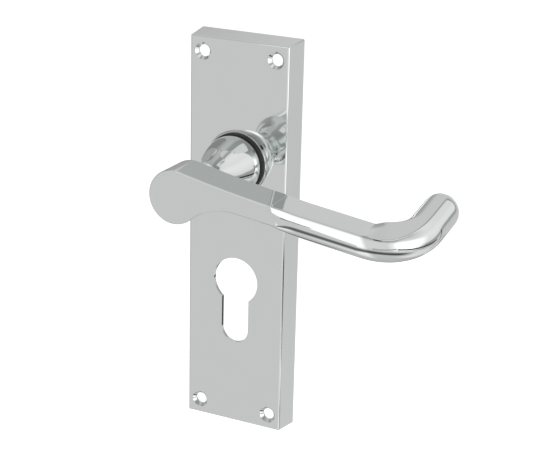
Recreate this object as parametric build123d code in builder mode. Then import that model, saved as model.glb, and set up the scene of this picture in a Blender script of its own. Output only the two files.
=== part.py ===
"""Sprung scroll lever handle on a hollow backplate with a euro cylinder cut-out.

Frame: X to the right seen from the room, Y into the door, Z up, in millimetres.
The origin is where the lever's axis meets the door, so the plate spans y = -PLATE_D to 0
and the lever reaches out to y = -LEVER_FRONT.
"""

from math import asin, atan, cos, degrees, radians, sin
import os

from build123d import *

# Backplate, a thin-walled tray with its open side on the door
PLATE_H = 150.0
PLATE_W = 41.0
PLATE_D = 10.3
PLATE_Z = -29.2  # the plate's middle, below the lever axis
PLATE_INSET = 0.95  # how far each side of the front face sits inside the back outline
WALL = 1.4
EDGE_R = 0.6

# Fixing holes for countersunk wood screws
SCREW_DX = 29.0
SCREW_DZ = 137.0
SCREW_R = 2.2
SINK_R = 3.2
PAD_R = 4.6
PAD_T = 1.7

# Euro cylinder cut-out, below the lever
CYLINDER_CENTRES = 46.0
EURO_R = 9.0
EURO_SLOT_W = 11.0
EURO_H = 33.6

# Lever bearing: turned collar through the plate, lined with a nylon bush
COLLAR_R = 12.0
COLLAR_T = 1.1
COLLAR_EDGE_R = 0.35
SPIGOT_R = 9.4
SPIGOT_END_Y = -4.8
BUSH_FLANGE_R = 11.3
BUSH_FLANGE_T = 0.8
BUSH_R = 8.2
JOURNAL_R = 7.0
RUNNING_GAP = 0.05
SHAKE = 0.05  # clearance round pieces that are only dropped into place

# Spindle sleeve, pressed into the lever's neck
SLEEVE_FRONT_Y = -21.0
SLEEVE_REAR_Y = -0.3
SQUARE_W = 8.1
SQUARE_DEPTH = 19.7
FLAT_HALF = 5.6
FLATS_FRONT_Y = -4.05
GROOVE_R = 6.3

# Spring mechanism inside the plate
STEEL_T = 1.2
MECH_W = 34.0
MECH_H = 46.0
MECH_CORNER_R = 3.0
PEG_DX = 27.0
PEG_DZ = 38.0
PEG_R = 1.5
PEG_L = 3.0
NUT_R = 3.4
NUT_T = 0.5
WASHER_T = 0.6
WASHER_R = 10.0
CAM_FRONT_Y = -4.0
CAM_T = 1.5
CAM_R = 10.8
CAM_ARM_W = 5.5
CAM_ARM_R = 16.6
CAM_TAB_L = 3.0
CAM_LOBE_W = 6.0
CAM_LOBE_R = 16.8
ARM_ANGLE = 110.0  # spring arm at rest, anticlockwise from +X seen from the front
TRAVEL = 40.0  # lever travel in degrees, clockwise seen from the front
STOP_PIN_R = 1.5
STOP_RADIUS = 15.2
ANCHOR_PIN_R = 1.2
ANCHOR_RADIUS = 15.2
PIN_REAR_Y = -2.0
PIN_CHAMFER = 0.3
WIRE_R = 0.7
COIL_R = 12.6
COIL_FRONT_Y = -6.85
COIL_REAR_Y = -4.85
COIL_TURNS = 1.25
SPRING_LEG_R = 17.2
WAVE_T = 0.45
WAVE_R = 9.6
CLIP_T = 0.8
CLIP_FRONT_Y = -1.7
CLIP_R = 8.8
CLIP_GAP_W = 4.0
CLIP_EAR_R = 1.7
CLIP_EAR_INSET = 0.4  # ear centres, inside the clip's edge
CLIP_EAR_HOLE_R = 0.6
CLIP_EAR_ANGLE = 36.0  # ears sit this far apart, either side of straight down

# Lever: flat head and arm, D-shaped grip, curled end
LEVER_FRONT = 57.0
LEVER_DEPTH = 14.0
HEAD_R = 9.5
ARM_END_X = 36.0
ARM_TOP_Z = 3.3  # arm edges at ARM_END_X
ARM_BOTTOM_Z = -3.6
ARM_TOP_MIDDLE = (15.2, 6.6)  # the top edge's arc passes here
ARM_THROAT = (5.0, 0.4)  # the bottom edge would meet the head here without its fillet
THROAT_R = 22.0
DROOP = 7.5  # fall of the grip's centre line in degrees
GRIP_START_Z = 3.75  # height of that line at x = 0
GRIP_FROM = 43.0  # distances along the centre line
GRIP_TO = 67.9
CURL_R = 15.0
CURL_ANGLE = 88.0
CURL_RISE = 16.5  # slope of the curl's plane towards the door, in degrees
TIP_LENGTH = 10.7
TIP_R = 6.3
NECK_BASE_Y = -12.3
# neck outline, radius and y: base, bulge, brow, waist and the flare into the lever
NECK_CURVE = [
    (10.5, NECK_BASE_Y),
    (10.8, -15.5),
    (9.2, -21.5),
    (6.6, -28.5),
    (5.8, -34.5),
    (9.2, -LEVER_FRONT + LEVER_DEPTH),
]
NECK_ENDS = ((0.3, -1.0), (0.85, -0.5))

FRONT_Y = -PLATE_D
DRAFT = degrees(atan(PLATE_INSET / PLATE_D))
MECH_FRONT_Y = FRONT_Y + WALL
MECH_REAR_Y = MECH_FRONT_Y + STEEL_T
CYLINDER_Z = -CYLINDER_CENTRES
AXIS = Axis((0, 0, 0), (0, 1, 0))


def facing_front(y, x=0.0, z=0.0):
    """Drawing plane parallel to the door at depth y: X to the right, Z up, normal to the room."""
    return Plane(origin=(x, y, z), x_dir=(1, 0, 0), z_dir=(0, -1, 0))


def around_axis(radius, angle):
    """Point at this radius and angle round the lever axis, on a facing_front plane."""
    return (radius * cos(radians(angle)), radius * sin(radians(angle)))


def save(part, name):
    """Label a finished piece and write it as one STEP file."""
    part.label = name
    export_step(part, f"parts/{name}.step")


os.makedirs("parts", exist_ok=True)

# ---------------------------------------------------------------- backplate
screw_places = [
    (x, PLATE_Z + z) for x in (-SCREW_DX / 2, SCREW_DX / 2) for z in (-SCREW_DZ / 2, SCREW_DZ / 2)
]
peg_places = [(x, z) for x in (-PEG_DX / 2, PEG_DX / 2) for z in (-PEG_DZ / 2, PEG_DZ / 2)]

with BuildPart() as backplate:
    with BuildSketch(facing_front(0, z=PLATE_Z)):
        Rectangle(PLATE_W, PLATE_H)
    extrude(amount=PLATE_D, taper=DRAFT)
    corner_edges = backplate.edges().filter_by(lambda e: abs(e.tangent_at(0.5).Y) > 0.9)
    fillet(corner_edges + backplate.faces().sort_by(Axis.Y)[0].edges(), EDGE_R)
    with BuildSketch(facing_front(0, z=PLATE_Z)):
        Rectangle(PLATE_W - 2 * WALL, PLATE_H - 2 * WALL)
    extrude(amount=PLATE_D - WALL, taper=DRAFT, mode=Mode.SUBTRACT)
    # thickened pads carry the countersunk screw heads
    with BuildSketch(facing_front(FRONT_Y + PAD_T)):
        with Locations(*screw_places):
            Circle(PAD_R)
    extrude(amount=PAD_T - EDGE_R)
    # pegs that the spring mechanism's plate is pushed over
    with BuildSketch(facing_front(MECH_FRONT_Y + PEG_L)):
        with Locations(*peg_places):
            Circle(PEG_R)
    extrude(amount=PEG_L + WALL / 2)
    for x, z in screw_places:
        with Locations(facing_front(FRONT_Y, x, z)):
            CounterSinkHole(radius=SCREW_R, counter_sink_radius=SINK_R, counter_sink_angle=90)
    with BuildSketch(facing_front(0)):
        Circle(SPIGOT_R)
        with Locations((0, CYLINDER_Z)):
            Circle(EURO_R)
        slot_bottom = CYLINDER_Z + EURO_R - EURO_H
        with BuildLine():
            left = (-EURO_SLOT_W / 2, slot_bottom + EURO_SLOT_W / 2)
            right = (EURO_SLOT_W / 2, slot_bottom + EURO_SLOT_W / 2)
            Polyline(left, (-EURO_SLOT_W / 2, CYLINDER_Z), (EURO_SLOT_W / 2, CYLINDER_Z), right)
            ThreePointArc(right, (0, slot_bottom), left)
        make_face()
    extrude(amount=PLATE_D, mode=Mode.SUBTRACT)
save(backplate.part, "backplate")

# ---------------------------------------------------------------- lever bearing
with BuildPart() as neck_collar:
    with BuildSketch(facing_front(FRONT_Y)):
        Circle(COLLAR_R)
    extrude(amount=COLLAR_T)
    fillet(neck_collar.faces().sort_by(Axis.Y)[0].edges(), COLLAR_EDGE_R)
    with BuildSketch(facing_front(SPIGOT_END_Y)):
        Circle(SPIGOT_R)
    extrude(amount=SPIGOT_END_Y - FRONT_Y)
    with BuildSketch(facing_front(SPIGOT_END_Y)):
        Circle(BUSH_R)
    extrude(amount=PLATE_D + COLLAR_T + SPIGOT_END_Y, mode=Mode.SUBTRACT)
save(neck_collar.part, "neck_collar")

BUSH_FRONT_Y = FRONT_Y - COLLAR_T - BUSH_FLANGE_T

with BuildPart() as bearing_bush:
    with BuildSketch(facing_front(FRONT_Y - COLLAR_T)):
        Circle(BUSH_FLANGE_R)
    extrude(amount=BUSH_FLANGE_T)
    with BuildSketch(facing_front(SPIGOT_END_Y)):
        Circle(BUSH_R)
    extrude(amount=SPIGOT_END_Y - FRONT_Y + COLLAR_T)
    with BuildSketch(facing_front(SPIGOT_END_Y)):
        Circle(JOURNAL_R + RUNNING_GAP)
    extrude(amount=SPIGOT_END_Y - BUSH_FRONT_Y, mode=Mode.SUBTRACT)
save(bearing_bush.part, "bearing_bush")

# ---------------------------------------------------------------- mechanism plate and pins
lobe_angle = ARM_ANGLE + 180
stop_offset = CAM_LOBE_W / 2 + STOP_PIN_R + SHAKE
stop_angle = degrees(asin(stop_offset / STOP_RADIUS))
rest_stop_at = around_axis(STOP_RADIUS, lobe_angle + stop_angle)
travel_stop_at = around_axis(STOP_RADIUS, lobe_angle - TRAVEL - stop_angle)
moving_leg_offset = CAM_ARM_W / 2 + WIRE_R + SHAKE
moving_leg_angle = ARM_ANGLE - degrees(asin(moving_leg_offset / (CAM_ARM_R - CAM_T / 2)))
fixed_leg_angle = moving_leg_angle + 360 * COIL_TURNS
anchor_offset = WIRE_R + ANCHOR_PIN_R + SHAKE
anchor_angle = fixed_leg_angle - degrees(asin(anchor_offset / ANCHOR_RADIUS))
anchor_at = around_axis(ANCHOR_RADIUS, anchor_angle)

with BuildPart() as mechanism_plate:
    with BuildSketch(facing_front(MECH_REAR_Y)):
        RectangleRounded(MECH_W, MECH_H, MECH_CORNER_R)
        Circle(SPIGOT_R + SHAKE, mode=Mode.SUBTRACT)
        with Locations(*peg_places):
            Circle(PEG_R + SHAKE, mode=Mode.SUBTRACT)
        with Locations(rest_stop_at, travel_stop_at):
            Circle(STOP_PIN_R, mode=Mode.SUBTRACT)
        with Locations(anchor_at):
            Circle(ANCHOR_PIN_R, mode=Mode.SUBTRACT)
    extrude(amount=STEEL_T)
save(mechanism_plate.part, "mechanism_plate")

with BuildPart() as push_nuts:
    with BuildSketch(facing_front(MECH_REAR_Y + NUT_T)):
        with Locations(*peg_places):
            Circle(NUT_R)
            Circle(PEG_R + SHAKE, mode=Mode.SUBTRACT)
    extrude(amount=NUT_T)
save(push_nuts.part, "push_nuts")

pins = {
    "rest_stop_pin": (rest_stop_at, STOP_PIN_R),
    "travel_stop_pin": (travel_stop_at, STOP_PIN_R),
    "spring_anchor_pin": (anchor_at, ANCHOR_PIN_R),
}
for pin_name, (place, pin_r) in pins.items():
    with BuildPart() as pin:
        with BuildSketch(facing_front(PIN_REAR_Y)):
            with Locations(place):
                Circle(pin_r)
        extrude(amount=PIN_REAR_Y - MECH_FRONT_Y)
        chamfer(pin.faces().sort_by(Axis.Y)[-1].edges(), PIN_CHAMFER)
    save(pin.part, pin_name)

# ---------------------------------------------------------------- spindle sleeve and its stack
with BuildPart() as spindle_sleeve:
    with BuildSketch(facing_front(SLEEVE_REAR_Y)):
        Circle(JOURNAL_R)
    extrude(amount=SLEEVE_REAR_Y - SLEEVE_FRONT_Y)
    # two flats carry the drive cam round with the lever
    with BuildSketch(facing_front(SLEEVE_REAR_Y)):
        Circle(JOURNAL_R)
        Rectangle(2 * FLAT_HALF, 2 * JOURNAL_R, mode=Mode.SUBTRACT)
    extrude(amount=SLEEVE_REAR_Y - FLATS_FRONT_Y, mode=Mode.SUBTRACT)
    with BuildSketch(facing_front(CLIP_FRONT_Y + CLIP_T + SHAKE)):
        Circle(JOURNAL_R)
        Circle(GROOVE_R, mode=Mode.SUBTRACT)
    extrude(amount=CLIP_T + 2 * SHAKE, mode=Mode.SUBTRACT)
    with BuildSketch(facing_front(SLEEVE_REAR_Y)):
        Rectangle(SQUARE_W, SQUARE_W)
    extrude(amount=SQUARE_DEPTH, mode=Mode.SUBTRACT)
save(spindle_sleeve.part, "spindle_sleeve")

with BuildPart() as thrust_washer:
    with BuildSketch(facing_front(CAM_FRONT_Y - SHAKE)):
        Circle(WASHER_R)
        Circle(JOURNAL_R + 2 * SHAKE, mode=Mode.SUBTRACT)
    extrude(amount=WASHER_T)
save(thrust_washer.part, "thrust_washer")

with BuildPart() as drive_cam:
    with BuildSketch(facing_front(CAM_FRONT_Y + CAM_T)):
        Circle(CAM_R)
        with PolarLocations(CAM_ARM_R / 2, 1, start_angle=ARM_ANGLE):
            Rectangle(CAM_ARM_R, CAM_ARM_W)
        with PolarLocations(CAM_LOBE_R / 2, 1, start_angle=lobe_angle):
            Rectangle(CAM_LOBE_R, CAM_LOBE_W)
    extrude(amount=CAM_T)
    # the arm's end is bent forwards into a tab that pushes the spring
    with BuildSketch(facing_front(CAM_FRONT_Y)):
        with PolarLocations(CAM_ARM_R - CAM_T / 2, 1, start_angle=ARM_ANGLE):
            Rectangle(CAM_T, CAM_ARM_W)
    extrude(amount=CAM_TAB_L)
    with BuildSketch(facing_front(CAM_FRONT_Y + CAM_T)):
        Circle(JOURNAL_R + SHAKE)
        Rectangle(2 * (FLAT_HALF + SHAKE), 2 * CAM_R, mode=Mode.INTERSECT)
    extrude(amount=CAM_T, mode=Mode.SUBTRACT)
save(drive_cam.part, "drive_cam")

with BuildPart() as wave_washer:
    with BuildSketch(facing_front(CLIP_FRONT_Y - SHAKE)):
        Circle(WAVE_R)
        Circle(JOURNAL_R + 2 * SHAKE, mode=Mode.SUBTRACT)
    extrude(amount=WAVE_T)
save(wave_washer.part, "wave_washer")

ear_places = [around_axis(CLIP_R - CLIP_EAR_INSET, -90 + side * CLIP_EAR_ANGLE / 2) for side in (-1, 1)]

with BuildPart() as retaining_clip:
    with BuildSketch(facing_front(CLIP_FRONT_Y + CLIP_T)):
        Circle(CLIP_R)
        with Locations(*ear_places):
            Circle(CLIP_EAR_R)
        Circle(GROOVE_R + SHAKE, mode=Mode.SUBTRACT)
        with Locations(*ear_places):
            Circle(CLIP_EAR_HOLE_R, mode=Mode.SUBTRACT)
        with Locations((0, -CLIP_R)):
            Rectangle(CLIP_GAP_W, CLIP_R, mode=Mode.SUBTRACT)
    extrude(amount=CLIP_T)
save(retaining_clip.part, "retaining_clip")

# ---------------------------------------------------------------- return spring
coil_height = COIL_REAR_Y - COIL_FRONT_Y
coil_start = Vector(cos(radians(fixed_leg_angle)), 0, sin(radians(fixed_leg_angle)))
coil_plane = Plane(origin=(0, COIL_FRONT_Y, 0), x_dir=coil_start, z_dir=(0, 1, 0))

# wound about Z from +X, then set on coil_plane
with BuildPart() as return_spring:
    with BuildLine() as coil:
        Helix(pitch=coil_height / COIL_TURNS, height=coil_height, radius=COIL_R)
    with BuildSketch(Plane(origin=coil.line @ 0, z_dir=coil.line % 0)):
        Circle(WIRE_R)
    sweep(path=coil.line, is_frenet=True)
    for coil_end, leg_angle in ((0, 0.0), (1, 360 * COIL_TURNS)):
        outwards = Vector(1, 0, 0).rotate(Axis.Z, leg_angle)
        with BuildSketch(Plane(origin=coil.line @ coil_end, z_dir=outwards)):
            Circle(WIRE_R)
        extrude(amount=SPRING_LEG_R - COIL_R)
        with Locations(coil.line @ coil_end):
            Sphere(WIRE_R)
save(return_spring.part.moved(coil_plane.location), "return_spring")

# ---------------------------------------------------------------- lever handle
along = Vector(cos(radians(DROOP)), 0, -sin(radians(DROOP)))
towards_door = Vector(0, cos(radians(CURL_RISE)), sin(radians(CURL_RISE)))
towards_door = (towards_door - along * towards_door.dot(along)).normalized()
grip_y = -LEVER_FRONT + LEVER_DEPTH / 2
line_start = Vector(0, grip_y, GRIP_START_Z)
curl_start = line_start + along * GRIP_TO


def straight_plane(distance):
    """Cross-section plane on the grip's straight centre line: x to the door, y up."""
    return Plane(origin=line_start + along * distance, x_dir=(0, 1, 0), z_dir=along)


def curl_plane(angle, beyond=0.0):
    """Cross-section plane after turning by angle towards the door, then going on by beyond."""
    turn = radians(angle)
    heading = along * cos(turn) + towards_door * sin(turn)
    inwards = towards_door * cos(turn) - along * sin(turn)
    centre = curl_start + along * (CURL_R * sin(turn)) + towards_door * (CURL_R * (1 - cos(turn)))
    return Plane(origin=centre + heading * beyond, x_dir=inwards, z_dir=heading)


def d_section(plane, half_width, top, bottom, top_r, bottom_r):
    """Grip cross-section, flat on top and round below, as one face."""
    with BuildSketch(plane) as section:
        with Locations((0, (top + bottom) / 2)):
            Rectangle(2 * half_width, top - bottom)
        fillet(section.vertices().group_by(Axis.Y)[-1], top_r)
        fillet(section.vertices().group_by(Axis.Y)[0], bottom_r)
    return section.sketch.face()


HALF_DEPTH = LEVER_DEPTH / 2
GRIP = (HALF_DEPTH, 3.8, -6.05, 0.6, 6.0)  # half width, top, bottom, top radius, bottom radius
ARM_END = (HALF_DEPTH - 0.1, 3.6, -2.1, 0.3, 0.3)
TIP = (TIP_R, 5.3, -TIP_R, 2.4, 6.0)
CAP_ANGLES = (30, 55, 75)  # latitudes of the sections that round off the tip
# the flat top softens as it turns: turn angle, then the five section sizes
CURL = [
    (28, (6.85, 4.1, -6.1, 0.9, 6.0)),
    (58, (6.6, 4.7, -6.2, 1.4, 6.0)),
    (CURL_ANGLE, (6.4, 5.2, -6.25, 2.0, 6.0)),
]

with BuildPart() as lever_handle:
    # flat-faced head and arm
    with BuildSketch(facing_front(-LEVER_FRONT + LEVER_DEPTH)) as outline:
        Circle(HEAD_R)
        with BuildLine():
            head_top = around_axis(HEAD_R, 78)
            top_end = (ARM_END_X, ARM_TOP_Z)
            bottom_end = (ARM_END_X, ARM_BOTTOM_Z)
            ThreePointArc(head_top, ARM_TOP_MIDDLE, top_end)
            Polyline(top_end, bottom_end, ARM_THROAT, head_top)
        make_face()
        throat = outline.vertices().sort_by_distance(ARM_THROAT)[0]
        fillet(throat, THROAT_R)
    extrude(amount=LEVER_DEPTH)
    # arm end into the round-bellied grip
    arm_end = d_section(straight_plane(ARM_END_X - 1), *ARM_END)
    grip_start = d_section(straight_plane(GRIP_FROM), *GRIP)
    grip_end = d_section(straight_plane(GRIP_TO), *GRIP)
    loft([arm_end, grip_start])
    extrude(grip_start, amount=GRIP_TO - GRIP_FROM)
    # curled end, closed by a round tip
    curl_sections = [d_section(curl_plane(angle), *sizes) for angle, sizes in CURL]
    tip_section = d_section(curl_plane(CURL_ANGLE, TIP_LENGTH), *TIP)
    loft([grip_end, *curl_sections, tip_section])
    cap_sections = []
    for latitude in CAP_ANGLES:
        cap_plane = curl_plane(CURL_ANGLE, TIP_LENGTH + TIP_R * sin(radians(latitude)))
        cap_sections.append(d_section(cap_plane, *[size * cos(radians(latitude)) for size in TIP]))
    loft([tip_section, *cap_sections])
    # bell-shaped neck, turned about the lever axis
    with BuildSketch(Plane.XY):
        with BuildLine():
            Spline(*NECK_CURVE, tangents=NECK_ENDS)
            Polyline(NECK_CURVE[-1], (0, NECK_CURVE[-1][1]), (0, NECK_BASE_Y), NECK_CURVE[0])
        make_face()
    revolve(axis=AXIS)
    with BuildSketch(facing_front(NECK_BASE_Y)):
        Circle(JOURNAL_R)
    extrude(amount=NECK_BASE_Y - SLEEVE_FRONT_Y, mode=Mode.SUBTRACT)
save(lever_handle.part, "lever_handle")
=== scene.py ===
"""Looks for the sprung scroll lever handle: polished lever, materials, studio and camera.

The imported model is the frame: metres, X to the right, Y into the door, Z up, with the
origin where the lever's axis meets the door. Shapes here are worked out in millimetres.
"""

from math import atan2, cos, hypot, pi, radians, sin, sqrt

import bmesh
import bpy
from mathutils import Matrix, Quaternion, Vector


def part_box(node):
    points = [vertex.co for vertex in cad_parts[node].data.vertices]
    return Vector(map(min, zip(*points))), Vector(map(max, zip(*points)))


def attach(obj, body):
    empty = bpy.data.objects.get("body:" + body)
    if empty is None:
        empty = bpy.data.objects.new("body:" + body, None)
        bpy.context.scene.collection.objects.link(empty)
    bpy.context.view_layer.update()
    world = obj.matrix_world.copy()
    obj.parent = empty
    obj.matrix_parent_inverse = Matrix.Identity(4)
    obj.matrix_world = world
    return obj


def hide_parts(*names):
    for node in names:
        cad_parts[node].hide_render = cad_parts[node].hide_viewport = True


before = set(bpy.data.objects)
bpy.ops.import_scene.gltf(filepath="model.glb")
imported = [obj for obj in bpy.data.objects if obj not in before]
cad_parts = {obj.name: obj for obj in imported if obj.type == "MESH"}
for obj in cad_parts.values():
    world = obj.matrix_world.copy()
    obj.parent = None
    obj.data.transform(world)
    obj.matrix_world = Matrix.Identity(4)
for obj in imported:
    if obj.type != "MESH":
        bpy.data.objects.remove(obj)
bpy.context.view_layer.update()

MM = 0.001

# ------------------------------------------------------------------ camera
SENSOR_WIDTH = 36.0  # the sensor and the lens are in millimetres
CAMERA_LENS = 98.745
CAMERA_AZIMUTH = radians(25.6)
CAMERA_ELEVATION = radians(19.56)
CAMERA_ROLL = radians(1.47)
CAMERA_DISTANCE = 0.5591
AIM_RIGHT = 0.01083  # the point looked at, from the middle of the plate
AIM_UP = 0.00125
CLIP_START = 0.01


def make_camera():
    """Camera in front of the plate, to its right and above, looking slightly down."""
    low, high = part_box("backplate")
    aim = Vector((AIM_RIGHT, 0, (low.z + high.z) / 2 + AIM_UP))
    a, e, r = CAMERA_AZIMUTH, CAMERA_ELEVATION, CAMERA_ROLL
    back = Vector((sin(a) * cos(e), -cos(a) * cos(e), sin(e)))
    right = Vector((cos(a), sin(a), 0))
    up = back.cross(right)
    x_axis = cos(r) * right + sin(r) * up
    y_axis = cos(r) * up - sin(r) * right
    camera = bpy.data.objects.new("camera", bpy.data.cameras.new("camera"))
    bpy.context.scene.collection.objects.link(camera)
    turn = Matrix((x_axis, y_axis, back)).transposed().to_4x4()
    camera.matrix_world = Matrix.Translation(aim + back * CAMERA_DISTANCE) @ turn
    camera.data.sensor_width = SENSOR_WIDTH
    camera.data.lens = CAMERA_LENS
    camera.data.clip_start = CLIP_START
    bpy.context.scene.camera = camera


# ------------------------------------------------------------------ materials
# noise scales are in blobs per metre
CHROME_BASE = (0.845, 0.872, 0.86)
# the collar's chrome is made darker than the lever's: painted shade that stands in for the darker
# grey the collar mirrors
COLLAR_SHADED_BASE = (0.62, 0.63, 0.62)
CHROME_HAZE = 120.0
CHROME_HAZE_SHADE = 0.985  # how much darker the plating gets where it is hazy
CHROME_ROUGH = (0.03, 0.075)
CHROME_RIPPLE = 45.0
RIPPLE_STRENGTH = 0.15
RIPPLE_DEPTH = 1e-4

NYLON_GRAIN = 2500.0
NYLON_COLOURS = ((0.012, 0.012, 0.013), (0.028, 0.028, 0.03))
NYLON_ROUGH = (0.32, 0.5)
NYLON_RELIEF = 0.3
NYLON_DEPTH = 3e-5

METAL_RELIEF = 0.1
METAL_DEPTH = 2e-5
# steels and brass: darkest and lightest colour, roughness, grain and its stretch along the axes
METALS = {
    "zinc_plate": ((0.42, 0.43, 0.45), (0.62, 0.63, 0.64), (0.28, 0.45), 900.0, (1, 1, 1)),
    "bright_steel": ((0.5, 0.5, 0.5), (0.62, 0.62, 0.61), (0.18, 0.32), 1500.0, (1, 8, 1)),
    "spring_steel": ((0.14, 0.14, 0.145), (0.24, 0.235, 0.23), (0.3, 0.42), 1200.0, (1, 1, 1)),
    "washer_brass": ((0.6, 0.43, 0.16), (0.75, 0.58, 0.27), (0.25, 0.4), 1100.0, (1, 1, 1)),
}
METAL_OF_NODE = {
    "mechanism_plate": "zinc_plate",
    "drive_cam": "zinc_plate",
    "push_nuts": "spring_steel",
    "return_spring": "spring_steel",
    "wave_washer": "spring_steel",
    "retaining_clip": "spring_steel",
    "rest_stop_pin": "bright_steel",
    "travel_stop_pin": "bright_steel",
    "spring_anchor_pin": "bright_steel",
    "spindle_sleeve": "bright_steel",
    "thrust_washer": "washer_brass",
}


def new_material(name):
    """Empty node material: its tree, its shader, and object coordinates in metres."""
    material = bpy.data.materials.new(name)
    material.use_nodes = True
    tree = material.node_tree
    shader = tree.nodes["Principled BSDF"]
    place = tree.nodes.new("ShaderNodeTexCoord")
    return material, tree, shader, place.outputs["Object"]


def noise(tree, place, scale, detail, stretch=(1, 1, 1)):
    """Noise of this scale, its blobs squeezed by the stretch along each axis."""
    mapping = tree.nodes.new("ShaderNodeMapping")
    mapping.inputs["Scale"].default_value = stretch
    tree.links.new(place, mapping.inputs["Vector"])
    texture = tree.nodes.new("ShaderNodeTexNoise")
    texture.inputs["Scale"].default_value = scale
    texture.inputs["Detail"].default_value = detail
    tree.links.new(mapping.outputs["Vector"], texture.inputs["Vector"])
    return texture.outputs["Fac"]


def ramp(tree, value, stops):
    """Colour ramp from (position, colour or grey) stops."""
    node = tree.nodes.new("ShaderNodeValToRGB")
    elements = node.color_ramp.elements
    while len(elements) < len(stops):
        elements.new(0.5)
    for element, (position, colour) in zip(elements, stops):
        element.position = position
        grey = isinstance(colour, (int, float))
        element.color = (colour, colour, colour, 1) if grey else (*colour, 1)
    tree.links.new(value, node.inputs["Fac"])
    return node.outputs["Color"]


def product(tree, first, second):
    """Two greys multiplied."""
    node = tree.nodes.new("ShaderNodeMath")
    node.operation = "MULTIPLY"
    tree.links.new(first, node.inputs[0])
    tree.links.new(second, node.inputs[1])
    return node.outputs[0]


def bump(tree, shader, height, strength, distance):
    """Surface relief from a height map, depth in metres."""
    node = tree.nodes.new("ShaderNodeBump")
    node.inputs["Strength"].default_value = strength
    node.inputs["Distance"].default_value = distance
    tree.links.new(height, node.inputs["Height"])
    tree.links.new(node.outputs["Normal"], shader.inputs["Normal"])


def spread(low, high):
    """Ramp stops that go from low to high over the middle of a noise's range."""
    return [(0.3, low), (0.7, high)]


def metal(name, dark, light, rough, grain, stretch):
    """Metal whose colour, roughness and relief follow one grain noise."""
    material, tree, shader, place = new_material(name)
    shader.inputs["Metallic"].default_value = 1.0
    grain_map = noise(tree, place, grain, 4.0, stretch)
    tree.links.new(ramp(tree, grain_map, spread(dark, light)), shader.inputs["Base Color"])
    tree.links.new(ramp(tree, grain_map, spread(*rough)), shader.inputs["Roughness"])
    bump(tree, shader, grain_map, METAL_RELIEF, METAL_DEPTH)
    return material


def chrome(name, base):
    """Polished chrome plate: nearly even, with faint haze and a slow ripple left by polishing."""
    material, tree, shader, place = new_material(name)
    shader.inputs["Metallic"].default_value = 1.0
    haze = noise(tree, place, CHROME_HAZE, 3.0)
    shade = [(0.25, [c * CHROME_HAZE_SHADE for c in base]), (0.75, base)]
    rough = [(0.3, CHROME_ROUGH[0]), (0.75, CHROME_ROUGH[1])]
    tree.links.new(ramp(tree, haze, shade), shader.inputs["Base Color"])
    tree.links.new(ramp(tree, haze, rough), shader.inputs["Roughness"])
    ripple = noise(tree, place, CHROME_RIPPLE, 1.0)
    bump(tree, shader, ripple, RIPPLE_STRENGTH, RIPPLE_DEPTH)
    return material


def moulded_nylon(name):
    """Black nylon with a fine moulded grain."""
    material, tree, shader, place = new_material(name)
    grain_map = noise(tree, place, NYLON_GRAIN, 3.0)
    tree.links.new(ramp(tree, grain_map, spread(*NYLON_COLOURS)), shader.inputs["Base Color"])
    tree.links.new(ramp(tree, grain_map, spread(*NYLON_ROUGH)), shader.inputs["Roughness"])
    bump(tree, shader, grain_map, NYLON_RELIEF, NYLON_DEPTH)
    return material


def dress(obj, material):
    """Give an object one material in place of what it has."""
    obj.data.materials.clear()
    obj.data.materials.append(material)


def dress_pieces(lever, plate):
    """Put a material on every visible piece."""
    metals = {name: metal(name, *look) for name, look in METALS.items()}
    for node, name in METAL_OF_NODE.items():
        dress(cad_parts[node], metals[name])
    # the collar gets the same chrome with a darkened base, painted shade in place of a darker
    # reflection
    dress(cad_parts["neck_collar"], chrome("collar_chrome", COLLAR_SHADED_BASE))
    dress(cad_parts["bearing_bush"], moulded_nylon("black_nylon"))
    dress(lever, chrome("lever_chrome", CHROME_BASE))
    dress(plate, chrome("plate_chrome", CHROME_BASE))


# ------------------------------------------------------------------ lever shape, in millimetres
LEVER_FRONT = -57.0
LEVER_BACK = -43.0
HALF_DEPTH = (LEVER_BACK - LEVER_FRONT) / 2
MIDDLE_Y = (LEVER_BACK + LEVER_FRONT) / 2
HEAD_R = 9.5
HEAD_TOP_ANGLE = 78.0
ARM_TOP_END = (36.0, 2.95)
ARM_BOTTOM_END = (38.6, -3.95)
ARM_TOP_MIDDLE = (15.2, 6.5)
ARM_THROAT = (5.0, 0.4)
THROAT_R = 22.0
EDGE_R = 0.35  # softened edges of the flat head and arm
TOP_STEPS, HEAD_STEPS, THROAT_STEPS, UNDERSIDE_STEPS = 40, 110, 30, 10
END_STEPS = 8  # points up the blade's square end, which lies inside the grip

DROOP = radians(7.5)
GRIP_START_Z = 3.75
GRIP_FROM = 33.0  # distances along the grip's line; it starts inside the arm
BELLY_FROM = 36.5  # the round belly swells out between these two
BELLY_TO = 45.5
GRIP_TO = 67.9
CURL_R = 15.0
CURL_ANGLE = 88.0
CURL_RISE = radians(16.5)
TWIST_OVER = 34.0  # the section rolls into the curl's plane over this much of its turn
TIP_LENGTH = 10.7

# round bar cut flat on top: (bar radius, bar centre height, flat height, edge radius)
GRIP = (7.0, 0.95, 3.8, 0.7)
TIP = (6.25, 0.0, 6.1, 3.2)
GRIP_STEPS, CURL_STEPS, TIP_STEPS, CAP_STEPS = 70, 44, 12, 12
# the grip's rectangular start, just inside the arm's faces: half depth, top, bottom and edge radius
ARM_SECTION = (6.99, 3.85, -2.65, 0.35)

# points along half a section, from the middle of its top to the middle of its bottom, and the
# angles on the round bar where its side gives way to its lower part and that to its bottom
TOP_N, CORNER_N, SIDE_N, LOWER_N, BOTTOM_N = 4, 6, 14, 12, 6
LOWER_ANGLE, BOTTOM_ANGLE = -25, -68

ALONG = Vector((cos(DROOP), 0, -sin(DROOP)))
RISING = Vector((0, cos(CURL_RISE), sin(CURL_RISE)))
INTO_DOOR = (RISING - ALONG * RISING.dot(ALONG)).normalized()
CURL_ROLL = atan2(sin(CURL_RISE) * cos(DROOP), cos(CURL_RISE))
GRIP_LINE_START = Vector((0, MIDDLE_Y, GRIP_START_Z))

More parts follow.
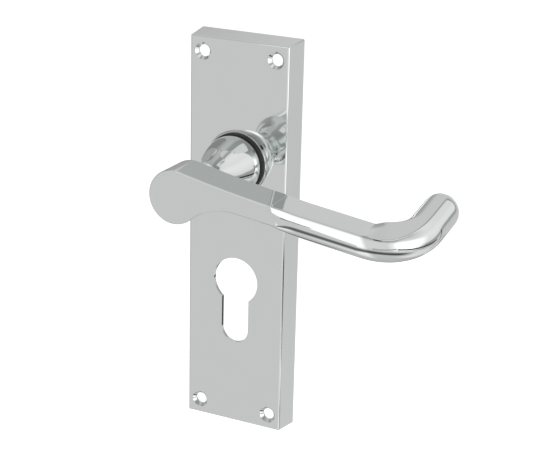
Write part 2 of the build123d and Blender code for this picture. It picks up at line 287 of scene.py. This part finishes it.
# neck: radius and y along it, and its directions at the two ends, turned about the lever's axis
NECK_BASE_Y = -12.3
NECK_CURVE = [
    (10.5, NECK_BASE_Y),
    (10.8, -15.5),
    (9.2, -21.5),
    (6.6, -28.5),
    (5.8, -34.5),
    (9.2, LEVER_BACK),
]
NECK_ENDS = ((0.3, -1.0), (0.85, -0.5))
NECK_OVERLAP = 1.5  # how far the neck runs on inside the head
NECK_STEPS = 12
BORE_R = 7.0
BORE_END_Y = -21.0
ROUND_STEPS = 144

MERGE_DISTANCE = 2e-6  # metres
LEVER_SHARP_ANGLE = 28
PLATE_SHARP_ANGLE = 32


def steps(count, start=0.0, stop=1.0):
    """Evenly spaced values that leave out the last one."""
    return [start + (stop - start) * i / count for i in range(count)]


def arc(centre, radius, start, stop, count):
    """Points on an arc, angles in degrees, leaving out the last one."""
    return [
        (centre[0] + radius * cos(radians(a)), centre[1] + radius * sin(radians(a)))
        for a in steps(count, start, stop)
    ]


def line(start, stop, count):
    """Points on a straight line, leaving out the last one."""
    return [
        (start[0] + (stop[0] - start[0]) * t, start[1] + (stop[1] - start[1]) * t)
        for t in steps(count)
    ]


def box_half(half_depth, top, bottom, edge):
    """Right half of a rectangular section, from its top middle to its bottom middle."""
    inner = half_depth - edge
    points = line((0, top), (inner, top), TOP_N)
    points += arc((inner, top - edge), edge, 90, 0, CORNER_N)
    points += line((half_depth, top - edge), (half_depth, bottom + edge), SIDE_N)
    points += arc((inner, bottom + edge), edge, 0, -90, LOWER_N)
    points += line((inner, bottom), (0, bottom), BOTTOM_N)
    return points + [(0, bottom)]


def bar_half(radius, centre, top, edge):
    """Right half of a round bar's section with its top cut flat and the edge softened."""
    rise = top - centre - edge
    edge_x = sqrt((radius - edge) ** 2 - rise**2)
    join = atan2(rise, edge_x) * 180 / pi
    points = line((0, top), (edge_x, top), TOP_N)
    points += arc((edge_x, top - edge), edge, 90, join, CORNER_N)
    points += arc((0, centre), radius, join, LOWER_ANGLE, SIDE_N)
    points += arc((0, centre), radius, LOWER_ANGLE, BOTTOM_ANGLE, LOWER_N)
    points += arc((0, centre), radius, BOTTOM_ANGLE, -90, BOTTOM_N)
    return points + [(0, centre - radius)]


def mirrored(half):
    """Whole section from its right half: down the right side and back up the left."""
    return half + [(-x, z) for x, z in half[-2:0:-1]]


def eased(t):
    """Smooth step from 0 to 1."""
    t = min(max(t, 0.0), 1.0)
    return t * t * (3 - 2 * t)


def blended(first, second, share):
    """Point by point blend of two sections or two rows of sizes."""
    return [tuple(a + (b - a) * share for a, b in zip(p, q)) for p, q in zip(first, second)]


def three_point_circle(a, b, c):
    """Centre and radius of the circle through three points."""
    (ax, ay), (bx, by), (cx, cy) = a, b, c
    d = 2 * (ax * (by - cy) + bx * (cy - ay) + cx * (ay - by))
    a2, b2, c2 = ax**2 + ay**2, bx**2 + by**2, cx**2 + cy**2
    x = (a2 * (by - cy) + b2 * (cy - ay) + c2 * (ay - by)) / d
    y = (a2 * (cx - bx) + b2 * (ax - cx) + c2 * (bx - ax)) / d
    return (x, y), hypot(ax - x, ay - y)


def angle_at(centre, point):
    """Direction from centre to point, in degrees."""
    return atan2(point[1] - centre[1], point[0] - centre[0]) * 180 / pi


def blade_outline():
    """Anticlockwise outline of head and arm, seen from the front, as (x, z) points."""
    top_angle = radians(HEAD_TOP_ANGLE)
    head_top = (HEAD_R * cos(top_angle), HEAD_R * sin(top_angle))
    centre, radius = three_point_circle(head_top, ARM_TOP_MIDDLE, ARM_TOP_END)
    arm_end_angle, head_angle = angle_at(centre, ARM_TOP_END), angle_at(centre, head_top)
    points = arc(centre, radius, arm_end_angle, head_angle, TOP_STEPS)
    # throat: an arc that touches the head's circle and the arm's bottom edge
    edge = (Vector(ARM_BOTTOM_END) - Vector(ARM_THROAT)).normalized()
    below = Vector((edge.y, -edge.x))
    offset = Vector(ARM_THROAT) + below * THROAT_R
    nearest = offset - edge * offset.dot(edge)
    reach = sqrt((HEAD_R + THROAT_R) ** 2 - nearest.length_squared)
    throat = nearest + edge * reach
    head_end = angle_at((0, 0), throat)
    points += arc((0, 0), HEAD_R, HEAD_TOP_ANGLE, head_end + 360, HEAD_STEPS)
    touch = throat - below * THROAT_R
    points += arc(throat, THROAT_R, head_end + 180, angle_at(throat, touch), THROAT_STEPS)
    points += line(touch, ARM_BOTTOM_END, UNDERSIDE_STEPS)
    return points + line(ARM_BOTTOM_END, ARM_TOP_END, END_STEPS)


def add_loop(mesh, points):
    """Vertices for a ring of points in millimetres."""
    return [mesh.verts.new(Vector(p) * MM) for p in points]


def bridge(mesh, first, second):
    """Quads between two rings of the same length."""
    count = len(first)
    for i in range(count):
        j = (i + 1) % count
        mesh.faces.new((first[i], first[j], second[j], second[i]))


def loft(mesh, rings):
    """Closed tube through rings of points, with a flat face on each end."""
    loops = [add_loop(mesh, ring) for ring in rings]
    for first, second in zip(loops, loops[1:]):
        bridge(mesh, first, second)
    mesh.faces.new(loops[0])
    mesh.faces.new(loops[-1])


def blade():
    """Flat head and arm with softened edges."""
    mesh = bmesh.new()
    outline = blade_outline()
    count = len(outline)
    normals = []
    for i in range(count):
        run = Vector(outline[(i + 1) % count]) - Vector(outline[i - 1])
        rounded = 0 < i <= count - END_STEPS
        normals.append(Vector((run.y, -run.x)).normalized() if rounded else Vector((0, 0)))
    rings = []
    for side in (-1, 1):
        turns = [side * radians(90 * k / CORNER_N) for k in range(CORNER_N + 1)]
        for turn in sorted(turns):
            inset = EDGE_R * (1 - cos(turn))
            y = MIDDLE_Y + side * (HALF_DEPTH - EDGE_R) + EDGE_R * sin(turn)
            ring = [(p[0] - n.x * inset, y, p[1] - n.y * inset) for p, n in zip(outline, normals)]
            rings.append(ring)
    loft(mesh, rings)
    return mesh


def line_frame(distance):
    """Origin and section axes on the grip's straight centre line."""
    return GRIP_LINE_START + ALONG * distance, Vector((0, 1, 0)), ALONG.cross(Vector((0, 1, 0)))


def curl_frame(angle, beyond=0.0):
    """The same after turning by angle towards the door, then going on by beyond."""
    turn = radians(angle)
    heading = ALONG * cos(turn) + INTO_DOOR * sin(turn)
    inwards = INTO_DOOR * cos(turn) - ALONG * sin(turn)
    origin = GRIP_LINE_START + ALONG * (GRIP_TO + CURL_R * sin(turn))
    origin += INTO_DOOR * (CURL_R * (1 - cos(turn))) + heading * beyond
    roll = CURL_ROLL * (1 - eased(angle / TWIST_OVER))
    upwards = heading.cross(inwards)
    across = inwards * cos(roll) - upwards * sin(roll)
    return origin, across, upwards * cos(roll) + inwards * sin(roll)


def placed(section, origin, across, upwards):
    """Section points set in space."""
    return [origin + across * x + upwards * z for x, z in section]


def grip():
    """Grip, curled end and round tip."""
    mesh = bmesh.new()
    arm = mirrored(box_half(*ARM_SECTION))
    bar = mirrored(bar_half(*GRIP))
    rings = []
    for distance in steps(GRIP_STEPS, GRIP_FROM, GRIP_TO):
        t = (distance - BELLY_FROM) / (BELLY_TO - BELLY_FROM)
        share = sin(min(max(t, 0.0), 1.0) * pi / 2)
        rings.append(placed(blended(arm, bar, share), *line_frame(distance)))
    for angle in steps(CURL_STEPS, 0, CURL_ANGLE):
        share = sin(angle / CURL_ANGLE * pi / 2)
        shape = blended([GRIP[:3]], [TIP[:3]], share)[0]
        edge = GRIP[3] + (TIP[3] - GRIP[3]) * share**3
        rings.append(placed(mirrored(bar_half(*shape, edge)), *curl_frame(angle)))
    tip = mirrored(bar_half(*TIP))
    for beyond in steps(TIP_STEPS, 0, TIP_LENGTH):
        rings.append(placed(tip, *curl_frame(CURL_ANGLE, beyond)))
    for latitude in steps(CAP_STEPS, 0, pi / 2):
        ring = [(x * cos(latitude), z * cos(latitude)) for x, z in tip]
        beyond = TIP_LENGTH + TIP[0] * sin(latitude)
        rings.append(placed(ring, *curl_frame(CURL_ANGLE, beyond)))
    loft(mesh, rings)
    return mesh


def smooth_curve(points, ends, count):
    """Smooth curve through points, with given directions at its two ends."""
    tangents = []
    for i in range(len(points)):
        before, after = Vector(points[max(i - 1, 0)]), Vector(points[min(i + 1, len(points) - 1)])
        tangents.append((after - before).normalized())
    tangents[0] = Vector(ends[0]).normalized()
    tangents[-1] = Vector(ends[1]).normalized()
    curve = []
    for i in range(len(points) - 1):
        start, stop = Vector(points[i]), Vector(points[i + 1])
        reach = (stop - start).length
        for t in steps(count):
            curve.append(
                start * (2 * t**3 - 3 * t**2 + 1)
                + stop * (3 * t**2 - 2 * t**3)
                + tangents[i] * reach * (t**3 - 2 * t**2 + t)
                + tangents[i + 1] * reach * (t**3 - t**2)
            )
    return [tuple(p) for p in curve] + [points[-1]]


def turned(profile):
    """Closed solid turned about the lever axis from (radius, y) points that start and end on it."""
    mesh = bmesh.new()
    rings = []
    for radius, y in profile[1:-1]:
        angles = steps(ROUND_STEPS, 0, 2 * pi)
        rings.append(add_loop(mesh, [(radius * cos(a), y, radius * sin(a)) for a in angles]))
    for first, second in zip(rings, rings[1:]):
        bridge(mesh, first, second)
    for ring, end in ((rings[0], profile[0]), (rings[-1], profile[-1])):
        pole = mesh.verts.new(Vector((0, end[1], 0)) * MM)
        for i in range(ROUND_STEPS):
            mesh.faces.new((ring[i], ring[(i + 1) % ROUND_STEPS], pole))
    return mesh


def neck():
    """Bell-shaped neck, bored from behind for the spindle sleeve."""
    curve = smooth_curve(NECK_CURVE, NECK_ENDS, NECK_STEPS)
    inside_y = LEVER_BACK - NECK_OVERLAP
    profile = [(0, BORE_END_Y), (BORE_R, BORE_END_Y), (BORE_R, NECK_BASE_Y)]
    profile += curve + [(curve[-1][0], inside_y), (0, inside_y)]
    return turned(profile)


def to_object(mesh, name):
    """Mesh object with its faces turned outwards."""
    bmesh.ops.recalc_face_normals(mesh, faces=mesh.faces)
    data = bpy.data.meshes.new(name)
    mesh.to_mesh(data)
    mesh.free()
    obj = bpy.data.objects.new(name, data)
    bpy.context.scene.collection.objects.link(obj)
    return obj


def unite(target, tool):
    """Join a second closed solid into the first."""
    modifier = target.modifiers.new("unite", "BOOLEAN")
    modifier.operation = "UNION"
    modifier.solver = "EXACT"
    modifier.object = tool
    bpy.context.view_layer.objects.active = target
    bpy.ops.object.modifier_apply(modifier=modifier.name)
    bpy.data.objects.remove(tool)


def soften(obj, sharp_angle):
    """Smooth shading that keeps edges over sharp_angle degrees crisp and flat faces flat."""
    mesh = bmesh.new()
    mesh.from_mesh(obj.data)
    bmesh.ops.remove_doubles(mesh, verts=mesh.verts, dist=MERGE_DISTANCE)
    for face in mesh.faces:
        face.smooth = True
    for edge in mesh.edges:
        if len(edge.link_faces) == 2:
            edge.smooth = edge.calc_face_angle() < radians(sharp_angle)
    mesh.to_mesh(obj.data)
    mesh.free()
    weighted = obj.modifiers.new("flat_faces", "WEIGHTED_NORMAL")
    weighted.keep_sharp = True


def make_lever():
    """The whole lever casting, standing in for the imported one."""
    lever = to_object(blade(), "lever_casting")
    unite(lever, to_object(grip(), "grip"))
    unite(lever, to_object(neck(), "neck"))
    soften(lever, LEVER_SHARP_ANGLE)
    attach(lever, "lever")
    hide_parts("lever_handle")
    return lever


def make_plate():
    """The backplate casting with evenly smooth countersinks and edges."""
    mesh = bmesh.new()
    mesh.from_mesh(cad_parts["backplate"].data)
    plate = to_object(mesh, "backplate_casting")
    soften(plate, PLATE_SHARP_ANGLE)
    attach(plate, "plate")
    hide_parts("backplate")
    return plate


# ------------------------------------------------------------------ studio
FLOOR_SIZE = 30.0
FLOOR_DROP = 0.15  # from the plate's lower end
FLOOR_GREY = (0.9, 0.9, 0.9, 1)
FLOOR_ROUGH = 0.9
FLOOR_GLOW = 0.55

# surroundings: stops of (place, brightness) along one component of the direction, with place 0
# for -1 and place 1 for +1, so 0.5 is neither up nor down, or neither left nor right
FRONT_BY_HEIGHT = [
    (0.0, 0.95),
    (0.05, 1.0),
    (0.07, 0.6),
    (0.085, 0.12),  # the long dark line down the grip
    (0.13, 0.16),
    (0.16, 0.5),
    (0.19, 1.0),
    (0.27, 1.2),
    (0.58, 1.2),
    (0.64, 0.9),
    (0.7, 0.58),
    (0.8, 0.5),
    (1.0, 0.65),
]
FRONT_ACROSS = [
    (0.15, 0.65),
    (0.25, 0.85),
    (0.3, 1.0),
    (0.39, 1.0),
    (0.46, 0.62),
    (0.76, 0.6),
    (0.83, 0.8),
    (0.9, 1.3),
]
BACK_BY_HEIGHT = [
    (0.0, 0.9), (0.2, 0.7), (0.34, 0.6), (0.66, 0.66), (0.72, 0.64), (0.8, 0.6), (1.0, 0.65)
]
BACK_SLOPE = 0.6  # the back's stops run along X plus this much of Z
BACK_ACROSS = [
    (0.2, 0.6),
    (0.33, 0.62),
    (0.42, 1.0),
    (0.76, 1.0),
    (0.82, 0.6),
    (0.87, 0.6),
    (0.9, 1.25),
    (1.0, 1.35),
]
FRONT_TO_BACK = [(0.4, 0.0), (0.6, 1.0)]  # share of the back, along Y

# lights: name, place, size and power in watts
LIGHTS = [
    ("key_light", (0.5, -0.5, 0.8), 0.5, 5.0),
    ("fill_light", (-0.9, -0.4, 0.3), 0.6, 3.0),
]

# ways that a card can face
TO_DOOR = (0, 1, 0)
TO_ROOM = (0, -1, 0)
TO_LEFT = (-1, 0, 0)
DOWN = (0, 0, -1)
TO_HANDLE = (-0.4, 0.85, -0.3)
# cards: name, centre, width, height, facing, brightness and lean in degrees
CARDS = [
    # greys that the flat faces of the plate and the lever mirror
    ("grey_card", (-0.285, -0.5, -0.24), 0.25, 0.42, TO_DOOR, 0.64, 0),
    ("upper_card", (-0.25, -0.5, 0.38), 0.32, 0.4, TO_DOOR, 0.52, 0),
    ("bridge_card", (-0.32, -0.5, 0.075), 0.18, 0.21, TO_DOOR, 0.64, 0),
    # dark left and bright top of the neck
    ("left_panel", (-0.68, -0.5, 0.06), 0.54, 1.0, TO_DOOR, 0.3, 0),
    ("neck_card", (0.25, -0.27, 0.5), 0.34, 0.34, DOWN, 0.8, 0),
    # a dark spot just in front of the camera's place
    ("camera_card", (0.2, -0.46, 0.17), 0.1, 0.07, TO_HANDLE, 0.05, 0),
    # dark lines at the grip's start and round the curled end
    ("streak_card", (0.0165, -0.12, -0.0248), 0.0045, 0.0125, TO_DOOR, 0.08, 112),
    ("leaning_strip", (0.297, 0.2, -0.082), 0.016, 0.21, TO_ROOM, 0.05, -36),
    ("upright_strip", (0.242, 0.2, -0.21), 0.016, 0.1, TO_ROOM, 0.05, 0),
    # bright walls of the hollow, seen through the screw holes
    ("hole_glow", (0.062, 0.3, -0.055), 0.06, 0.13, TO_ROOM, 1.3, 0),
    ("low_hole_glow", (0.084, 0.3, -0.272), 0.032, 0.056, TO_ROOM, 1.3, 0),
    ("low_hole_card", (-0.145, 0.3, 0.017), 0.07, 0.05, TO_ROOM, 1.3, 0),
    # dark line down the plate's right edge
    ("side_strip", (0.6, -0.02, -0.295), 0.9, 0.09, TO_LEFT, 0.06, 0),
    ("low_side_strip", (0.6, -0.02, -0.395), 0.9, 0.035, TO_LEFT, 0.06, 0),
    ("front_side_strip", (0.35, -0.5, -0.27), 0.5, 0.08, TO_DOOR, 0.4, 0),
    # dark left side of the cut-out and dark lower edge of the grip
    ("slot_card", (0.153, 0.3, -0.192), 0.025, 0.05, TO_ROOM, 0.03, 0),
    ("low_back_card", (-0.25, 0.5, -0.375), 0.5, 0.15, TO_ROOM, 0.1, 0),
]


def emissive(name, strength):
    """Even white glow for a studio card."""
    material = bpy.data.materials.new(name)
    material.use_nodes = True
    tree = material.node_tree
    tree.nodes.clear()
    glow = tree.nodes.new("ShaderNodeEmission")
    glow.inputs["Color"].default_value = (1, 1, 1, 1)
    glow.inputs["Strength"].default_value = strength
    output = tree.nodes.new("ShaderNodeOutputMaterial")
    tree.links.new(glow.outputs["Emission"], output.inputs["Surface"])
    return material


def make_floor():
    """Plain pale floor below the handle."""
    low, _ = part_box("backplate")
    mesh = bmesh.new()
    bmesh.ops.create_grid(mesh, x_segments=1, y_segments=1, size=FLOOR_SIZE)
    floor = to_object(mesh, "floor")
    floor.location.z = low.z - FLOOR_DROP
    material, _, shader, _ = new_material("pale_floor")
    shader.inputs["Base Color"].default_value = FLOOR_GREY
    shader.inputs["Roughness"].default_value = FLOOR_ROUGH
    shader.inputs["Emission Color"].default_value = (1, 1, 1, 1)
    shader.inputs["Emission Strength"].default_value = FLOOR_GLOW
    dress(floor, material)
    floor.visible_glossy = False
    floor.visible_diffuse = False


def level(tree, component):
    """Map a direction component from -1..1 to 0..1."""
    node = tree.nodes.new("ShaderNodeMapRange")
    node.inputs["From Min"].default_value = -1.0
    tree.links.new(component, node.inputs["Value"])
    return node.outputs["Result"]


def make_world():
    """Soft studio surroundings, as brightness by direction."""
    world = bpy.data.worlds.new("studio")
    bpy.context.scene.world = world
    world.use_nodes = True
    tree = world.node_tree
    background = tree.nodes["Background"]
    place = tree.nodes.new("ShaderNodeTexCoord")
    split = tree.nodes.new("ShaderNodeSeparateXYZ")
    tree.links.new(place.outputs["Generated"], split.inputs["Vector"])
    rising = tree.nodes.new("ShaderNodeMath")
    rising.operation = "MULTIPLY_ADD"
    rising.inputs[1].default_value = BACK_SLOPE
    tree.links.new(split.outputs["Z"], rising.inputs[0])
    tree.links.new(split.outputs["X"], rising.inputs[2])

    height = level(tree, split.outputs["Z"])
    across = level(tree, split.outputs["X"])
    upper_right = level(tree, rising.outputs[0])
    depth = level(tree, split.outputs["Y"])
    front = product(tree, ramp(tree, height, FRONT_BY_HEIGHT), ramp(tree, across, FRONT_ACROSS))
    back = product(tree, ramp(tree, height, BACK_BY_HEIGHT), ramp(tree, upper_right, BACK_ACROSS))
    blend = tree.nodes.new("ShaderNodeMix")
    blend.data_type = "RGBA"
    tree.links.new(ramp(tree, depth, FRONT_TO_BACK), blend.inputs["Factor"])
    tree.links.new(front, blend.inputs["A"])
    tree.links.new(back, blend.inputs["B"])
    tree.links.new(blend.outputs["Result"], background.inputs["Color"])
    background.inputs["Strength"].default_value = 1.0


def make_light(name, place, size, power):
    """Soft square light aimed at the handle, left out of its reflections."""
    light = bpy.data.lights.new(name, "AREA")
    light.size = size
    light.energy = power
    obj = bpy.data.objects.new(name, light)
    bpy.context.scene.collection.objects.link(obj)
    obj.location = place
    obj.rotation_mode = "QUATERNION"
    obj.rotation_quaternion = (-Vector(place)).to_track_quat("-Z", "Y")
    obj.visible_glossy = False


def make_card(name, centre, width, height, facing, brightness, lean):
    """Card that only reflections see, turned in its own plane by lean degrees."""
    mesh = bmesh.new()
    bmesh.ops.create_grid(mesh, x_segments=1, y_segments=1, size=0.5)
    card = to_object(mesh, name)
    card.scale = (width, height, 1)
    card.rotation_mode = "QUATERNION"
    aimed = Vector(facing).to_track_quat("Z", "Y")
    card.rotation_quaternion = aimed @ Quaternion((0, 0, 1), radians(lean))
    card.location = centre
    dress(card, emissive(name, brightness))
    card.visible_camera = False
    card.visible_diffuse = False
    card.visible_shadow = False


# ------------------------------------------------------------------ build
make_camera()
lever = make_lever()
plate = make_plate()
make_floor()
make_world()
for light in LIGHTS:
    make_light(*light)
for card in CARDS:
    make_card(*card)
dress_pieces(lever, plate)

bpy.context.scene.view_settings.view_transform = "Standard"
